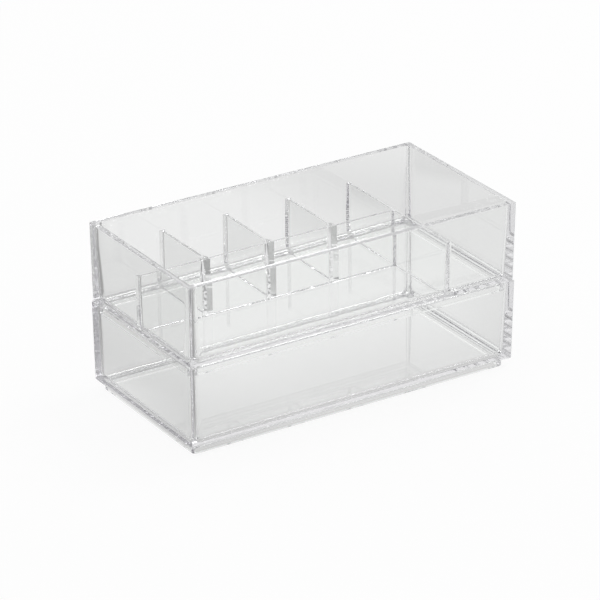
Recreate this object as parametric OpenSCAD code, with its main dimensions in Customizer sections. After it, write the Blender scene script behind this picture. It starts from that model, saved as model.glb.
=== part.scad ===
// Two-tier vanity organizer of clear moulded plastic: an open tray below and a tray with
// five partitions above. The upper tray's foot drops inside the rim of the lower one.
// Millimetres, +Z up. The origin is the middle of the footprint, on the surface it stands on.

/* [Tray] */
// Outside length of a tray, measured at its rim
tray_l = 240; // [180:1:320]
// Outside depth of a tray, measured at its rim
tray_w = 120; // [100:1:180]
// Height from the shoulder up to the rim, which is also the stacking pitch
tray_h = 53.8; // [44:0.2:80]
// Thickness of the side walls
wall_t = 4; // [2.5:0.1:6]
// How far each side wall leans in between the rim and the shoulder
wall_lean = 0.7; // [0.2:0.1:2]
// Thickness of the floor
floor_t = 3.2; // [2:0.1:4.4]
// Height of the floor's top face above the shoulder
floor_rise = 0.6; // [0.2:0.1:2]

/* [Corners] */
// Radius of the upright corners outside
outer_r = 1; // [0.6:0.1:4]
// Radius of the upright corners inside
inner_r = 3; // [1:0.1:6]
// Radius of the curve where the floor turns up into the walls
floor_r = 6; // [1:0.1:8]

/* [Foot] */
// Height of the foot below the shoulder
foot_h = 6; // [5:0.1:10]
// Width of the ring that the foot stands on
foot_ring = 3.5; // [2:0.1:8]
// Radius of the foot's corners outside
foot_r = 3.5; // [2:0.1:8]
// Clearance between the foot and the rim that it nests in
nest_gap = 0.5; // [0.4:0.05:1.5]

/* [Partitions] */
// Thickness of a partition along its top edge
partition_t = 1.5; // [1:0.1:3]
// How much thicker each face of a partition gets towards the floor
partition_lean = 0.25; // [0.1:0.05:0.8]
// Height of the partitions above the floor
partition_h = 37.5; // [20:0.5:40]
// Clear depth of the front compartment, from the front wall to the cross wall
front_depth = 58.5; // [40:0.5:75]

/* [Hidden] */
$fn = 32;

// Columns of equal clear width: the side divider and three short dividers part them
column_count = 5;
// Thickness of the thin plates that close the leaning shapes at the top and bottom
sliver = 0.01;
// Overrun of every cut beyond the face that it opens
cut_over = 1;

// Levels of one tray, measured from the bottom of its foot
shoulder_z = foot_h;
floor_z = shoulder_z + floor_rise;
rim_z = shoulder_z + tray_h;

// Inside of the walls at the rim
inner_l = tray_l - 2 * wall_t;
inner_w = tray_w - 2 * wall_t;

// Outside of the foot, which clears the inside of the rim below it
foot_l = inner_l - 2 * nest_gap;
foot_w = inner_w - 2 * nest_gap;

// Places of the partitions, which stay at the middle of their thickness
column_w = (inner_l - (column_count - 1) * partition_t) / column_count;
cross_y = -inner_w / 2 + front_depth + partition_t / 2;
side_x = divider_x(column_count - 1);

clear_plastic = [0.86, 0.90, 0.90, 0.45];
partition_plastic = [0.78, 0.85, 0.87, 0.45];

// Middle of the divider after a number of columns, counted from the left
function divider_x(columns) =
    -inner_l / 2 + columns * (column_w + partition_t) - partition_t / 2;

// How far a wall has leaned in at a depth below the rim
function lean_at(depth) = wall_lean * depth / tray_h;

// Plate with four rounded corners
module rounded_plate(l, w, h, r) {
    linear_extrude(height = h) {
        square([l - 2 * r, w], center = true);
        square([l, w - 2 * r], center = true);
        for (x = [-1, 1], y = [-1, 1])
            translate([x * (l / 2 - r), y * (w / 2 - r)])
                circle(r = r);
    }
}

// Outer block of a tray: it widens from the shoulder to the rim
module tray_block() {
    hull() {
        translate([0, 0, shoulder_z])
            rounded_plate(tray_l - 2 * wall_lean, tray_w - 2 * wall_lean, sliver, outer_r);
        translate([0, 0, rim_z - sliver])
            rounded_plate(tray_l, tray_w, sliver, outer_r);
    }
}

// Space inside a tray, with a curve between its floor and its walls
module tray_space() {
    ball_z = floor_z + floor_r;
    inset = lean_at(rim_z - ball_z) + floor_r;
    hull() {
        for (x = [-1, 1], y = [-1, 1])
            translate([x * (inner_l / 2 - inset), y * (inner_w / 2 - inset), ball_z])
                sphere(r = floor_r);
        translate([0, 0, rim_z])
            rounded_plate(inner_l, inner_w, cut_over, inner_r);
    }
}

// One tray without partitions, standing on its foot
module tray_shell() {
    recess_h = floor_z - floor_t;
    recess_r = max(foot_r - foot_ring, sliver);
    difference() {
        union() {
            tray_block();
            rounded_plate(foot_l, foot_w, shoulder_z + floor_rise / 2, foot_r);
        }
        tray_space();
        translate([0, 0, -cut_over])
            rounded_plate(
                foot_l - 2 * foot_ring,
                foot_w - 2 * foot_ring,
                recess_h + cut_over,
                recess_r
            );
    }
}

// Upright bar along X, a little thicker at the floor than along its top edge
module partition_bar(length) {
    top_half = partition_t / 2;
    foot_half = top_half + partition_lean;
    translate([0, 0, floor_z])
        rotate([90, 0, 90])
            linear_extrude(height = length, center = true)
                polygon([
                    [-foot_half, -cut_over],
                    [foot_half, -cut_over],
                    [foot_half, 0],
                    [top_half, partition_h],
                    [-top_half, partition_h],
                    [-foot_half, 0]
                ]);
}

// Bar along Y from one place to another
module bar_to_back(x, y_from, y_to) {
    translate([x, (y_from + y_to) / 2, 0])
        rotate([0, 0, 90])
            partition_bar(y_to - y_from);
}

// Full-depth bar that parts off the right-hand column
module side_bar() {
    bar_to_back(side_x, -tray_w / 2, tray_w / 2);
}

// Bar from the left wall to the side divider, which parts the front from the rear row
module cross_bar() {
    translate([(side_x - tray_l / 2) / 2, cross_y, 0])
        partition_bar(side_x + tray_l / 2);
}

// Puts a piece of the upper tray at its height on the stack
module on_lower_tray() {
    translate([0, 0, tray_h])
        children();
}

module lower_tray() {
    color(clear_plastic)
        tray_shell();
}

module upper_tray() {
    color(clear_plastic)
        on_lower_tray()
            tray_shell();
}

// Partition from the front wall to the back wall
module side_divider() {
    color(partition_plastic)
        on_lower_tray()
            intersection() {
                side_bar();
                tray_space();
            }
}

// Partition from the left wall to the face of the side divider
module cross_wall() {
    color(partition_plastic)
        on_lower_tray()
            difference() {
                intersection() {
                    cross_bar();
                    tray_space();
                }
                side_bar();
            }
}

// Partition from the back face of the cross wall to the back wall
module short_divider(columns) {
    color(partition_plastic)
        on_lower_tray()
            difference() {
                intersection() {
                    bar_to_back(divider_x(columns), cross_y, tray_w / 2);
                    tray_space();
                }
                cross_bar();
            }
}

lower_tray();
upper_tray();
side_divider();
cross_wall();
short_divider(1);  // short_divider_1
short_divider(2);  // short_divider_2
short_divider(3);  // short_divider_3
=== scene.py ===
# %% [markdown]
# # A clear two-tier vanity organizer
#
# The real thing is two thick-walled trays of clear moulded plastic, one stacked on the other. Nearly
# all that the eye gets from them is refraction: edges that pipe light, corners that mirror each
# other, and floors seen through walls. So the shapes matter more than the paint here. Every moulding
# has to be one closed skin with the true wall thickness, the small rounds in its corners and the
# lean of its walls.
#
# Lengths are in metres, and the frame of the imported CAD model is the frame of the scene.

# %% Load the fixed frame
import math
import bpy
import numpy as np
from mathutils import Matrix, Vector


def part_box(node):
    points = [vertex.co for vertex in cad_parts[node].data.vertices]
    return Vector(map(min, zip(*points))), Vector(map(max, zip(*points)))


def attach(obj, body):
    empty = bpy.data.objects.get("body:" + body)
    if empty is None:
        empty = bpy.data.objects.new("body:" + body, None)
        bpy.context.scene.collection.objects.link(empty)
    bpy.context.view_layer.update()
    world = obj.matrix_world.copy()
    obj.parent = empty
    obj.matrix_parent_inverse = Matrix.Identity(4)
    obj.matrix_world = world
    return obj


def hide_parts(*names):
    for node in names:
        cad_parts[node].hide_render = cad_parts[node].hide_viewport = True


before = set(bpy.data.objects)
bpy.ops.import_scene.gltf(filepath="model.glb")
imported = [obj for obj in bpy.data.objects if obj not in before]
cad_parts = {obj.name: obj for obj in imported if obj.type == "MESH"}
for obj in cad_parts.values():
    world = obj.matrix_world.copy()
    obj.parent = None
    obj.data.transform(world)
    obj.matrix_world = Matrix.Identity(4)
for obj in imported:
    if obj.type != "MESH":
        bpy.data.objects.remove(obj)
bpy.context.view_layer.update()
MM = 0.001

# %% [markdown]
# ## Sizes that the frame gives
#
# The outside of the trays, the stacking pitch and the places of the partitions are read
# from the boxes of the CAD nodes, so the mouldings can't drift away from them. The wall, the
# foot and the rounds can't be read from a box. They repeat the named values of the CAD source.

# %% Read the frame and name the rest
lower_lo, lower_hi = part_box("lower_tray")
upper_lo, upper_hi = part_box("upper_tray")
side_lo, side_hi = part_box("side_divider")
cross_lo, cross_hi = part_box("cross_wall")

half_l = lower_hi[0]
half_w = lower_hi[1]
rim_z = lower_hi[2]
pitch = upper_hi[2] - lower_hi[2]
partition_top = side_hi[2] - pitch

wall = 4.0 * MM
wall_lean = 0.7 * MM
floor_t = 3.2 * MM
foot_h = rim_z - pitch
floor_rise = 0.6 * MM
floor_z = foot_h + floor_rise
foot_ring = 3.5 * MM
foot_gap = 0.5 * MM
partition_t = 1.5 * MM
partition_lean = 0.25 * MM

outer_r = 1.0 * MM
inner_r = 3.0 * MM
floor_r = 6.0 * MM
foot_r = 3.5 * MM
edge_r = 0.05 * MM
rim_edge = 0.01 * MM
rim_lip = 0.01 * MM

cross_y = (cross_lo[1] + cross_hi[1]) / 2
print(f"tray {2 * half_l:.4f} x {2 * half_w:.4f}, pitch {pitch:.4f}, foot {foot_h:.4f}, "
      f"partitions up to {partition_top:.4f}, cross wall at {cross_y:.4f}")

# %% [markdown]
# ## A grid that runs round a rectangle
#
# Each skin of a moulding is a profile carried round a rectangle whose corners are softened. One
# parameter runs round the rectangle, the other runs up the profile, and both go through numpy at
# once. Most corners are quarter circles. Where a thin partition meets a wall, the real moulding
# has a flat little web instead, so a corner also has a bulge, which is 1 for an arc and 0 for a
# straight web, and it may reach further along one side than along the other.

# %% Points round a softened rectangle
ARC = 12
least_reach = 0.01 * MM
ARCS = (1, 1, 1, 1)


def round_rect(rects, reach, bulge=ARCS):
    """Points of rectangles with softened corners, one row for each rectangle.

    The reach of a corner is how far its curve goes along x and along y. Its points are the inner
    corner of that small box plus the reach times a unit vector. The unit vector runs through a
    quarter circle for a bulge of 1, along the quarter's chord for 0, and between them otherwise. The
    corners come in the order (x1, y1), (x0, y1), (x0, y0) and (x1, y0)."""
    x0, x1, y0, y1 = (np.asarray(side)[:, None] for side in np.transpose(rects))
    reach = np.maximum(np.asarray(reach, dtype=float), least_reach)
    reach = reach.reshape(reach.shape + (1,) * (3 - reach.ndim))
    reach = np.broadcast_to(reach, (len(reach), 4, 2))
    share = np.linspace(0, 1, ARC + 1)
    corners = []
    for turn, (x, y, to_x, to_y) in enumerate([(x1, y1, -1, -1), (x0, y1, 1, -1),
                                               (x0, y0, 1, 1), (x1, y0, -1, 1)]):
        angle = (turn + share) * math.pi / 2
        arc = np.stack([np.cos(angle), np.sin(angle)])
        chord = arc[:, :1] * (1 - share) + arc[:, -1:] * share
        unit_x, unit_y = bulge[turn] * arc + (1 - bulge[turn]) * chord
        reach_x, reach_y = reach[:, turn, :1], reach[:, turn, 1:]
        corners.append(np.stack([x + reach_x * (to_x + unit_x), y + reach_y * (to_y + unit_y)], axis=-1))
    return np.concatenate(corners, axis=1)


def grown(rect, by):
    """A rectangle (x0, x1, y0, y1) whose sides have moved out by a length."""
    x0, x1, y0, y1 = rect
    return (x0 - by, x1 + by, y0 - by, y1 + by)


outside = (-half_l, half_l, -half_w, half_w)
print("points in a ring:", round_rect([outside], [outer_r]).shape[1])

# %% [markdown]
# Closing the first and the last ring with a flat face turns the grid into a closed shell. Its
# rings run anticlockwise and its rows run upwards, so that every face points outwards.

# %% The carried profile
def carried(name, rects, reach, levels, bulge=ARCS):
    """Closed shell through one softened rectangle per row, from the first level to the last.

    Point (k, i) is point i of row k's rectangle at that row's level. A quad joins (k, i),
    (k, i + 1), (k + 1, i + 1) and (k + 1, i), and one flat face closes each end."""
    flat = round_rect(rects, reach, bulge)
    rows, n = flat.shape[:2]
    z = np.broadcast_to(np.asarray(levels)[:, None, None], (rows, n, 1))
    points = np.concatenate([flat, z], axis=2).reshape(-1, 3)
    k, i = np.meshgrid(np.arange(rows - 1), np.arange(n), indexing="ij")
    j = (i + 1) % n
    quads = np.stack([k * n + i, k * n + j, (k + 1) * n + j, (k + 1) * n + i], axis=-1)
    ends = [np.arange(n)[::-1].tolist(), (np.arange(n) + (rows - 1) * n).tolist()]
    mesh = bpy.data.meshes.new(name)
    mesh.from_pydata(points, [], quads.reshape(-1, 4).tolist() + ends)
    mesh.update()
    piece = bpy.data.objects.new(name, mesh)
    bpy.context.scene.collection.objects.link(piece)
    return piece


# %% [markdown]
# ## The block of a tray
#
# Injection-moulded walls lean by a degree or so, or the part would stick in its mould. The
# shoulder is therefore a little smaller than the rim. Under it stands the foot, set in so far that
# it drops inside the rim of the tray below, and hollow underneath, so that it stands on a ring. The
# outer edges aren't sharp: a narrow facet takes a thin line of light, as the real edges do.
#
# The shoulder of the upper tray rests on the rim of the lower one. Two clear faces in exactly
# the same place confuse a ray tracer, so a gap thinner than a hair stays between them.

# %% Outer skin from the underside of the floor to the rim
inset_foot = wall + foot_gap
hair = 0.03 * MM
recess_z = floor_z - floor_t
recess_r = 1.0 * MM


def tray_block(name, base_z):
    """Outer skin of one tray, standing at a height: underside recess, foot, shoulder, wall, rim."""
    recess = inset_foot + foot_ring
    shoulder_z = foot_h + hair
    profile = [
        (recess + edge_r, recess_r, recess_z),
        (recess, recess_r + edge_r, recess_z - edge_r),
        (recess, recess_r + edge_r, 0),
        (inset_foot + edge_r, foot_r - edge_r, 0),
        (inset_foot, foot_r, edge_r),
        (inset_foot, foot_r, shoulder_z),
        (wall_lean + edge_r, outer_r - edge_r, shoulder_z),
        (wall_lean, outer_r, shoulder_z + edge_r),
        (0, outer_r, rim_z - rim_edge),
        (rim_edge, outer_r - rim_edge, rim_z),
    ]
    rects = [grown(outside, -inset) for inset, _, _ in profile]
    radii = [radius for _, radius, _ in profile]
    levels = [base_z + z for _, _, z in profile]
    return carried(name, rects, radii, levels)


# %% [markdown]
# ## Pockets
#
# A hollow is a shell of its own that is taken out of the block. It has a round where its
# floor turns up into the walls, softened upright corners, and walls that lean outwards on the way
# up. The round bends what lies behind it into thin lines along the wall's foot. It could be a true
# arc, but a polished mould is never quite true there, and a few bands that are shaded as one curve
# break those lines up in the same way. Where a pocket is bounded by a partition, the partition's top
# edge is rounded over as well.

# %% Profile of a pocket's side
WALL_BANDS = 7
FEET_BANDS = 1
LIP_BANDS = 1
over = 1.0 * MM


def foot_curve(radius):
    """Heights and insets of a side's foot: a quarter circle of that radius, in a few bands.

    At the angle a the height is r (1 - cos a) and the side is set in by r (1 - sin a)."""
    bands = WALL_BANDS if radius >= floor_r else FEET_BANDS
    a = np.linspace(0, math.pi / 2, bands + 1)
    return radius * (1 - np.cos(a)), radius * (1 - np.sin(a))


def pocket(name, floor_rect, top_rect, z0, z1, above, feet, corners, bulge=ARCS, lips=(0, 0, 0, 0)):
    """Hollow from z0 to z1 whose sides run straight from the floor rectangle to the top one.

    Each side has a foot of its own radius, and a lip is a quarter circle outwards at its top. A
    corner between two walls starts as wide as the floor's round and narrows on the way up."""
    lip = max(lips)
    curves = [foot_curve(radius) for radius in feet]
    heights = np.unique(np.round(np.concatenate([h for h, _ in curves]), 9))
    a = np.linspace(0, math.pi / 2, LIP_BANDS + 1)[1:]
    lip_z = z1 - lip * (1 - np.sin(a))
    lip_out = lip * (1 - np.cos(a))
    straight = np.zeros(len(heights) + 1)
    if lip > 0:
        z = np.concatenate([z0 + heights, [z1 - lip], lip_z, [z1 + above]])
        flare = np.concatenate([straight, lip_out, [lip]])
    else:
        z = np.concatenate([z0 + heights, [z1, z1 + above]])
        flare = np.concatenate([straight, [0]])
    share = ((z - z0) / (z1 - z0))[:, None]
    inset = np.stack([np.interp(z - z0, h, inward) for h, inward in curves], axis=-1)
    inwards = np.array([1, -1, 1, -1])
    rects = np.asarray(floor_rect) * (1 - share) + np.asarray(top_rect) * share
    rects = rects + inwards * (inset - flare[:, None] * (np.asarray(lips) > 0))
    x0, x1, y0, y1 = inset.T
    eaten = [np.minimum(x, y) for x, y in ((x1, y1), (x0, y1), (x0, y0), (x1, y0))]
    eaten = np.stack(eaten, axis=-1)
    corners = np.asarray(corners, dtype=float)
    start = np.where(corners == inner_r, max(floor_r, inner_r), corners)
    reach = start * (1 - share[..., None]) + corners * share[..., None]
    return carried(name, rects, reach - eaten[..., None], z, bulge)


# %% [markdown]
# Boolean modifiers take the pockets out. The manifold solver is exact enough for clear plastic:
# it leaves no doubled or open faces, either of which would show at once as a black or missing wall.

# %% Take shells out of a block
def cut(block, cutters):
    """Take closed shells out of a block and keep the result as the block's own mesh."""
    for cutter in cutters:
        step = block.modifiers.new(cutter.name, "BOOLEAN")
        step.operation = "DIFFERENCE"
        step.solver = "MANIFOLD"
        step.object = cutter
    graph = bpy.context.evaluated_depsgraph_get()
    done = bpy.data.meshes.new_from_object(block.evaluated_get(graph))
    block.modifiers.clear()
    block.data = done
    for cutter in cutters:
        bpy.data.objects.remove(cutter)
    return block


def inside(z):
    """Inner rectangle of the walls at a height above the tray's own foot."""
    lean = wall_lean * (rim_z - z) / pitch
    return grown(outside, -(wall + lean))


def rim_round(lip):
    """Levels and outward steps of the small round at the rim's inner edge: a quarter circle."""
    a = np.linspace(0, math.pi / 2, LIP_BANDS + 1)
    levels = np.append(rim_z - lip * (1 - np.sin(a)), rim_z + over)
    return levels, np.append(lip * (1 - np.cos(a)), lip)


print("inside at the rim, m:", [round(side, 4) for side in inside(rim_z)])

# %% [markdown]
# ## The gate mark
#
# The plastic flows into the mould at the middle of each floor's underside, and a shallow round
# recess stays there, so that the broken-off sprue stands proud of nothing. Through the clear floor
# it shows as a faint ring.

# %% A shallow disc under the floor
gate_r = 4.6 * MM
gate_depth = 0.2 * MM
gate_slope = 1.2 * MM


def gate_mark(base_z):
    """Disc-shaped cutter that goes up into the underside of a floor and narrows on the way."""
    profile = [(gate_r + gate_slope, -over), (gate_r + gate_slope, 0), (gate_r, gate_depth)]
    rects = [(-half, half, -half, half) for half, _ in profile]
    radii = [half - least_reach for half, _ in profile]
    return carried("gate_mark", rects, radii, [base_z + recess_z + z for _, z in profile])


# %% [markdown]
# ## The lower tray
#
# One open bin with nothing in it: a block and a single pocket that runs out through the rim.

# %% Make the lower tray
walls_only = np.full((4, 2), inner_r)
bin_pocket = pocket("bin", inside(floor_z), inside(rim_z), floor_z, rim_z, over,
                    [floor_r] * 4, walls_only, lips=(rim_lip,) * 4)
lower = cut(tray_block("lower_tray_moulding", 0), [bin_pocket, gate_mark(0)])
print("lower tray faces:", len(lower.data.polygons))

# %% [markdown]
# ## The upper tray
#
# The partitions belong to the moulding, so their feet and ends run into the floor and the
# walls. The easiest way to get every one of those joints right is to leave the partitions standing:
# one shallow cut goes down to their top edges, and six pockets go on from there.
#
# The joints differ. Where a short divider meets the cross wall it flares out over a few
# millimetres, and the flare catches the light inside it, which makes the dark upright bars behind the
# cross wall. At the outer walls a small web is enough. The front of the cross wall has hardly any
# round at its foot, which leaves a crisp bright line on the floor.

# %% Sizes of the partitions' joints
partition_lip = 0.12 * MM
tee_reach = (2.6 * MM, 5.2 * MM)
tee_bulge = 0.0
side_web = 1.6 * MM
end_web = 1.4 * MM
left_web = 2.0 * MM
divider_foot = 0.3 * MM
cross_front_foot = 0.6 * MM

columns = 5
inner_half = half_l - wall
column = (2 * inner_half - (columns - 1) * partition_t) / columns
dividers = [-inner_half + k * (column + partition_t) - partition_t / 2 for k in range(1, columns)]
print("dividers at", [round(x, 4) for x in dividers])


# %% One compartment
def partition_face(z):
    """Half the thickness of a partition at a height: widest at the floor, thinnest at its top."""
    return partition_t / 2 + partition_lean * (partition_top - z) / (partition_top - floor_z)


def bounded(x0, x1, y0, y1, z):
    """Rectangle of a pocket at a height. None is the wall, a number is a partition's middle."""
    walls = grown(inside(z), -least_reach)
    face = partition_face(z)
    return (walls[0] if x0 is None else x0 + face,
            walls[1] if x1 is None else x1 - face,
            walls[2] if y0 is None else y0 + face,
            walls[3] if y1 is None else y1 - face)


def joint(x, y, behind):
    """Reach and bulge of a corner between the boundaries x and y of a pocket.

    A corner behind the cross wall is flared, unless it lies at the side divider."""
    if x is None and y is None:
        return (inner_r, inner_r), 1
    if x is not None and y is not None:
        flared = behind and x != dividers[-1]
        return (tee_reach, tee_bulge) if flared else ((side_web, side_web), 0)
    web = left_web if x is None else end_web
    return (web, web), 0


def compartment(name, x0, x1, y0, y1, cross_foot=divider_foot):
    """One pocket of the upper tray, with a lip on each side that is a partition."""
    lips = [0 if side is None else partition_lip for side in (x0, x1, y0, y1)]
    feet = [floor_r if x0 is None else divider_foot, floor_r if x1 is None else divider_foot,
            floor_r if y0 is None else cross_foot, floor_r if y1 is None else cross_foot]
    joints = [joint(x, y, y0 is not None) for x, y in ((x1, y1), (x0, y1), (x0, y0), (x1, y0))]
    return pocket(name, bounded(x0, x1, y0, y1, floor_z), bounded(x0, x1, y0, y1, partition_top),
                  pitch + floor_z, pitch + partition_top, over, feet,
                  [reach for reach, _ in joints], [bulge for _, bulge in joints], lips)


# %% Make the upper tray
levels, outs = rim_round(rim_lip)
levels = np.concatenate([[partition_top], levels])
outs = np.concatenate([[0], outs])
headroom = carried("headroom", [grown(inside(z), out) for z, out in zip(levels, outs)],
                   np.full(len(levels), inner_r), pitch + levels)
last = dividers[-1]
cells = [None] + dividers
cutters = [headroom,
           compartment("front_compartment", None, last, None, cross_y, cross_front_foot),
           compartment("side_compartment", last, None, None, None)]
cutters += [compartment(f"rear_cell_{k + 1}", cells[k], cells[k + 1], cross_y, None)
            for k in range(columns - 1)]
upper = cut(tray_block("upper_tray_moulding", pitch), cutters + [gate_mark(pitch)])
print("upper tray faces:", len(upper.data.polygons))

# %% [markdown]
# ## Smooth curves, flat flats
#
# A clear plate must stay optically flat. Smooth shading alone bends the normals of a large
# face towards the small faces of the round beside it, and the plate then acts as a lens. Each
# corner's normal is therefore taken from the largest face around it. Edges up to the angle between
# two bands of the floor's round are smoothed, and every sharper one stays sharp.

# %% Shade both mouldings
sharpest = math.radians(14)
most_weight = 100
for moulding in (lower, upper):
    moulding.data.shade_smooth()
    moulding.data.set_sharp_from_angle(angle=sharpest)
    weigh = moulding.modifiers.new("largest_face", "WEIGHTED_NORMAL")
    weigh.mode = "FACE_AREA"
    weigh.weight = most_weight
    weigh.keep_sharp = True
    print(moulding.name, "shaded")

# %% [markdown]
# ## Helpers for node trees
#
# Materials are small programs. One function that adds a node and fills its sockets keeps
# them short enough to read.

# %% Add a node, or map a value smoothly
def node(tree, kind, inputs=None, **settings):
    """Add a shader node, set its plain settings, and set or link its inputs by name or number."""
    made = tree.nodes.new(kind)
    for name, value in settings.items():
        setattr(made, name, value)
    for name, value in (inputs or {}).items():
        if isinstance(value, bpy.types.NodeSocket):
            tree.links.new(value, made.inputs[name])
        else:
            made.inputs[name].default_value = value
    return made


def ramp(tree, value, low, high, at_low=0.0, at_high=1.0):
    """Smooth step of a value: at_low up to low, at_high from high on."""
    inputs = {"Value": value, "From Min": low, "From Max": high, "To Min": at_low, "To Max": at_high}
    return node(tree, "ShaderNodeMapRange", inputs, interpolation_type="SMOOTHSTEP").outputs[0]


def math_node(tree, operation, *values):
    """One step of arithmetic on sockets or numbers."""
    return node(tree, "ShaderNodeMath", dict(enumerate(values)), operation=operation).outputs[0]


def blend_value(tree, share, low, high):
    """The low value where the share is 0, and the high value where it is 1."""
    return node(tree, "ShaderNodeMix", {0: share, 2: low, 3: high}).outputs[0]


# %% [markdown]
# ## Clear plastic
#
# Crystal styrene bends light more than window glass does, so its edges are brighter. It
# isn't perfect: its skin is very slightly wavy where it shrank against the mould, its tint varies a
# little, and a long way through it looks grey with a hint of violet. The waves are a bump of about a
# hundredth of a millimetre and the tint is the base colour, both from soft noise. The greyness comes
# from absorption inside the body, which darkens the edges and leaves the plates clear.

# %% Clear plastic material
clear = bpy.data.materials.new("clear_styrene")
clear.use_nodes = True
tree = clear.node_tree
plastic = tree.nodes["Principled BSDF"]
styrene_ior = 1.58
plastic.inputs["Roughness"].default_value = 0.0
plastic.inputs["IOR"].default_value = styrene_ior
plastic.inputs["Transmission Weight"].default_value = 1.0
print("refractive index:", styrene_ior)

# %% The uneven tint
tint_scale = 18.0
greenish = (0.990, 0.996, 0.991, 1)
nearly_clear = (0.998, 1.0, 0.998, 1)

place = node(tree, "ShaderNodeTexCoord").outputs["Object"]
tint_noise = node(tree, "ShaderNodeTexNoise", {"Vector": place, "Scale": tint_scale, "Detail": 2.0})
tint = node(tree, "ShaderNodeMix", {0: tint_noise.outputs["Fac"]}, data_type="RGBA")
tint.inputs[6].default_value = greenish
tint.inputs[7].default_value = nearly_clear
tree.links.new(tint.outputs[2], plastic.inputs["Base Color"])
print("tint patches about", round(1 / tint_scale, 3), "m across")

# %% The waves in the skin
wave_scale = 70.0
wave_depth = 0.012 * MM

wave_noise = node(tree, "ShaderNodeTexNoise", {"Vector": place, "Scale": wave_scale, "Detail": 1.0})
waves = node(tree, "ShaderNodeBump", {"Height": wave_noise.outputs["Fac"], "Strength": 1.0,
                                      "Distance": wave_depth})
tree.links.new(waves.outputs[0], plastic.inputs["Normal"])
print("waves about", round(1 / wave_scale, 3), "m long")

# %% The greyness inside
body_density = 24.0
body_tint = (0.9375, 0.9354, 0.9417, 1)

body = node(tree, "ShaderNodeVolumeAbsorption", {"Density": body_density})
body.inputs["Color"].default_value = body_tint
tree.links.new(body.outputs[0], tree.nodes["Material Output"].inputs["Volume"])
print("clear plastic nodes:", len(tree.nodes))

# %% [markdown]
# ## What the mouldings stand for
#
# Each moulding rides on the body of its tray. The upper one stands for the tray and its
# five partitions, which are solids of their own in the frame.

# %% Ride, take the clear plastic and replace
for moulding, body_name in ((lower, "lower"), (upper, "upper")):
    moulding.data.materials.clear()
    moulding.data.materials.append(clear)
    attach(moulding, body_name)
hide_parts("lower_tray")
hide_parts("upper_tray", "side_divider", "cross_wall",
            "short_divider_1", "short_divider_2", "short_divider_3")
print("two mouldings stand for", len(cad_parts), "nodes")

# %% [markdown]
# ## White paper under it
#
# Clear plastic has no colour of its own: it shows its surroundings, bent. The organizer stands
# on white paper that glows with painted light, brightest right behind it. What the camera sees
# directly, or through the plates, is that bright part. The rays that a corner or a
# slanting face turns away meet the paper outside it, where painted shade makes it fall off to dim.
# Without that painted fall-off no edge of the plastic would be visible at all.
#
# So the glow of the paper paints for each kind of ray the level that it should find: Light Path
# tells a view straight from the camera from one through the plastic, which gets a dimmer painted
# level, and the place on the paper does the rest. Further off the paper is even again, so that the
# plastic looks alike from other sides. A small share of real diffuse shading stays in it for the
# object's shadow, and a narrow painted shadow lies under the front and left walls.

# %% Levels on the paper, mostly painted shade
seen_white = 1.0
# Painted shade: the paper that the plastic shows is dimmer than the paper that the camera sees directly.
painted_through_level = 0.862
# Painted shade on the paper to the left and right of the strip and in front of it.
painted_left_shade = 0.30
painted_right_shade = 0.72
painted_front_shade_near = 0.84
painted_front_shade_far = 0.90
# Painted shadow on the paper in a narrow band under the front and left walls.
painted_contact_shadow = 0.85
glow_share = 0.93
print("white seen directly:", seen_white, "and through the plastic:", painted_through_level)

# %% Paper material
paper = bpy.data.materials.new("studio_paper")
paper.use_nodes = True
tree = paper.node_tree
matt = tree.nodes["Principled BSDF"]
paper_colour = (0.93, 0.93, 0.93, 1)
matt.inputs["Base Color"].default_value = paper_colour
matt.inputs["Roughness"].default_value = 1.0
matt.inputs["Specular IOR Level"].default_value = 0.0
path = node(tree, "ShaderNodeLightPath").outputs
place_on_paper = node(tree, "ShaderNodeTexCoord").outputs["Object"]
where = node(tree, "ShaderNodeSeparateXYZ", {0: place_on_paper}).outputs
print("paper reads its place and the kind of ray")

# %% The strip that the camera looks along
view_slant = 0.635
strip_half = 0.158
soft_edge = 0.04
left_end = (-0.165, -0.125)

across = math_node(tree, "SUBTRACT", where["X"], math_node(tree, "MULTIPLY", where["Y"], view_slant))
near_strip = ramp(tree, across, -strip_half - soft_edge, -strip_half)
off_left = ramp(tree, where["X"], *left_end)
in_strip = math_node(tree, "MULTIPLY", near_strip, off_left)
past_strip = ramp(tree, across, strip_half, strip_half + soft_edge)
print("strip", 2 * strip_half, "m wide")

# %% Painted fall-off inside the strip, as low end, high end, level at the low end and at the high end
right_fall = (0.10, 0.20, 1.0, 0.86)
left_fall = (-0.10, -0.02, 0.92, 1.0)
foot_fall = (-0.05, 0.06, 0.85, 1.0)
front_edge = (-0.054, -0.050, painted_contact_shadow, 1.0)
left_edge = (-0.114, -0.110, painted_contact_shadow, 1.0)

# Painted shade inside the strip: darker to the right, to the left and towards the front.
to_right = ramp(tree, where["X"], *right_fall)
to_left = ramp(tree, where["X"], *left_fall)
to_foot = ramp(tree, where["Y"], *foot_fall)
# A narrow painted shadow under the front and left walls.
wall_front = ramp(tree, where["Y"], *front_edge)
wall_left = ramp(tree, where["X"], *left_edge)
strip = math_node(tree, "MULTIPLY", to_right, painted_through_level)
painted_shadow_under_walls = math_node(tree, "MINIMUM", wall_front, wall_left)
for fall in (to_left, to_foot, painted_shadow_under_walls):
    strip = math_node(tree, "MULTIPLY", strip, fall)
print("shade under the walls:", painted_contact_shadow)

# %% Painted shade on the paper around the strip, and what the camera sees
front_fall = (-0.20, -0.09, painted_front_shade_far, painted_front_shade_near)
front_border = (-0.066, -0.062)
far_border = (0.30, 0.45)

# Painted shade around the strip: darkest on the left, dimmer on the right and in front; far off, the
# paper is even again.
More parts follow.
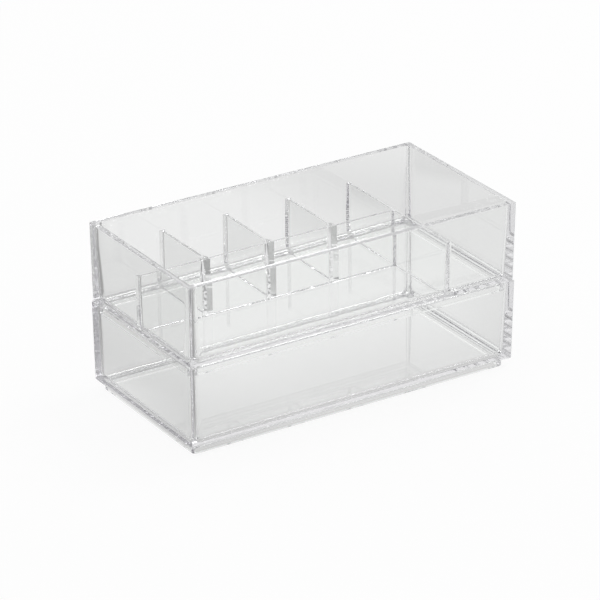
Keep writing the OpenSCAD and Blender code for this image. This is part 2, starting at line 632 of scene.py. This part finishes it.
front = ramp(tree, where["Y"], *front_fall)
level = blend_value(tree, past_strip, strip, painted_right_shade)
level = blend_value(tree, ramp(tree, where["Y"], *front_border), front, level)
level = blend_value(tree, in_strip, painted_left_shade, level)
distance = node(tree, "ShaderNodeVectorMath", {0: place_on_paper}, operation="LENGTH").outputs["Value"]
level = blend_value(tree, ramp(tree, distance, *far_border), level, painted_through_level)
level = blend_value(tree, path["Is Camera Ray"], level, seen_white)
any_view = math_node(tree, "MAXIMUM", path["Is Camera Ray"], path["Is Glossy Ray"])
any_view = math_node(tree, "MAXIMUM", any_view, path["Is Transmission Ray"])
glow = node(tree, "ShaderNodeEmission", {"Strength": level}).outputs[0]
both = node(tree, "ShaderNodeMixShader", {0: math_node(tree, "MULTIPLY", any_view, glow_share),
                                          1: matt.outputs[0], 2: glow}).outputs[0]
tree.links.new(both, tree.nodes["Material Output"].inputs["Surface"])
print("paper nodes:", len(tree.nodes))

# %% Lay the paper
paper_half = 6.0
paper_z = -0.1 * MM
paper_mesh = bpy.data.meshes.new("studio_floor")
paper_mesh.from_pydata([(-paper_half, -paper_half, paper_z), (paper_half, -paper_half, paper_z),
                        (paper_half, paper_half, paper_z), (-paper_half, paper_half, paper_z)], [],
                       [(0, 1, 2, 3)])
paper_mesh.materials.append(paper)
floor = bpy.data.objects.new("studio_floor", paper_mesh)
bpy.context.scene.collection.objects.link(floor)
print("paper", 2 * paper_half, "m wide")

# %% [markdown]
# ## The room
#
# Above the paper is a dim room with a bright ceiling, and behind the object the paper
# sweeps up, as it does in a photographer's studio. The sweep is what the rims mirror.

# %% World
room_level = 0.54
ceiling_level = 0.9
sweep_level = 0.97
ceiling_rise = (0.78, 0.88)
sweep_side = (-0.15, 0.35)
sweep_top = (0.44, 0.54)

room = bpy.data.worlds.new("studio_room")
room.use_nodes = True
tree = room.node_tree
tree.nodes.clear()
direction = node(tree, "ShaderNodeTexCoord").outputs["Generated"]
ray = node(tree, "ShaderNodeSeparateXYZ", {0: direction}).outputs
rise = {"Value": ray["Z"], "From Min": ceiling_rise[0], "From Max": ceiling_rise[1],
        "To Min": room_level, "To Max": ceiling_level}
overhead = node(tree, "ShaderNodeMapRange", rise).outputs[0]
behind = ramp(tree, ray["Y"], *sweep_side)
low = ramp(tree, ray["Z"], *sweep_top, 1.0, 0.0)
lit = blend_value(tree, math_node(tree, "MULTIPLY", behind, low), overhead, sweep_level)
path = node(tree, "ShaderNodeLightPath").outputs
backdrop = blend_value(tree, path["Is Camera Ray"], lit, seen_white)
light = node(tree, "ShaderNodeBackground", {"Color": (1, 1, 1, 1), "Strength": backdrop})
node(tree, "ShaderNodeOutputWorld", {"Surface": light.outputs[0]})
bpy.context.scene.world = room
print("room nodes:", len(tree.nodes))

# %% [markdown]
# ## One soft lamp
#
# A small softbox up on the right puts the white glints into the rounds of the corners. A wide
# one would wash them out.

# %% Softbox
softbox_size = (0.9, 0.6)
softbox_watts = 8.5
softbox_place = (0.95, 0.1, 1.75)
softbox_tilt = (math.radians(-3), math.radians(28), 0)

lamp = bpy.data.lights.new("softbox", "AREA")
lamp.shape = "RECTANGLE"
lamp.size, lamp.size_y = softbox_size
lamp.energy = softbox_watts
lamp_object = bpy.data.objects.new("softbox", lamp)
lamp_object.location = softbox_place
lamp_object.rotation_euler = softbox_tilt
bpy.context.scene.collection.objects.link(lamp_object)
print("softbox of", lamp.energy, "W")

# %% [markdown]
# ## The camera
#
# The photograph was taken from the front left and above, with a long lens. Its place comes from
# a perspective fitted to the corners of the trays. Azimuth and elevation turn the look, the roll
# levels the horizon, and the shift puts the fitted centre of the picture where it was.

# %% Camera
view_azimuth = math.radians(32.46)
view_elevation = math.radians(24.68)
view_roll = math.radians(-0.27)
view_distance = 2.3256
aim = np.array([0, 0, 0.056])
focal_px = 3689
centre_px = (4.2, -3.7)
photo_px = 600
sensor_mm = 36
far_clip = 30

look = np.array([math.sin(view_azimuth) * math.cos(view_elevation),
                 math.cos(view_azimuth) * math.cos(view_elevation), -math.sin(view_elevation)])
right = np.cross(look, [0, 0, 1])
right = right / np.linalg.norm(right)
up = np.cross(right, look)
right_r = math.cos(view_roll) * right + math.sin(view_roll) * up
up_r = math.cos(view_roll) * up - math.sin(view_roll) * right
eye = aim - look * view_distance
lens = bpy.data.cameras.new("photo_camera")
lens.sensor_width = sensor_mm
lens.lens = focal_px / photo_px * lens.sensor_width
lens.shift_x = -centre_px[0] / photo_px
lens.shift_y = centre_px[1] / photo_px
lens.clip_end = far_clip
camera = bpy.data.objects.new("photo_camera", lens)
camera.matrix_world = Matrix([[right_r[k], up_r[k], -look[k], eye[k]] for k in range(3)] + [[0, 0, 0, 1]])
bpy.context.scene.collection.objects.link(camera)
bpy.context.scene.camera = camera
print("camera at", [round(float(v), 3) for v in eye], "lens", round(lens.lens, 1))

# %% [markdown]
# ## Long light paths
#
# A ray may bounce dozens of times inside a wall before it comes out. If it is stopped on the
# way it counts as black, which would put dark specks into every edge, so the limits are high.

# %% View transform and bounces
scene = bpy.context.scene
scene.view_settings.view_transform = "Standard"
long_path = 200
scene.cycles.max_bounces = long_path
scene.cycles.transmission_bounces = long_path
scene.cycles.glossy_bounces = long_path
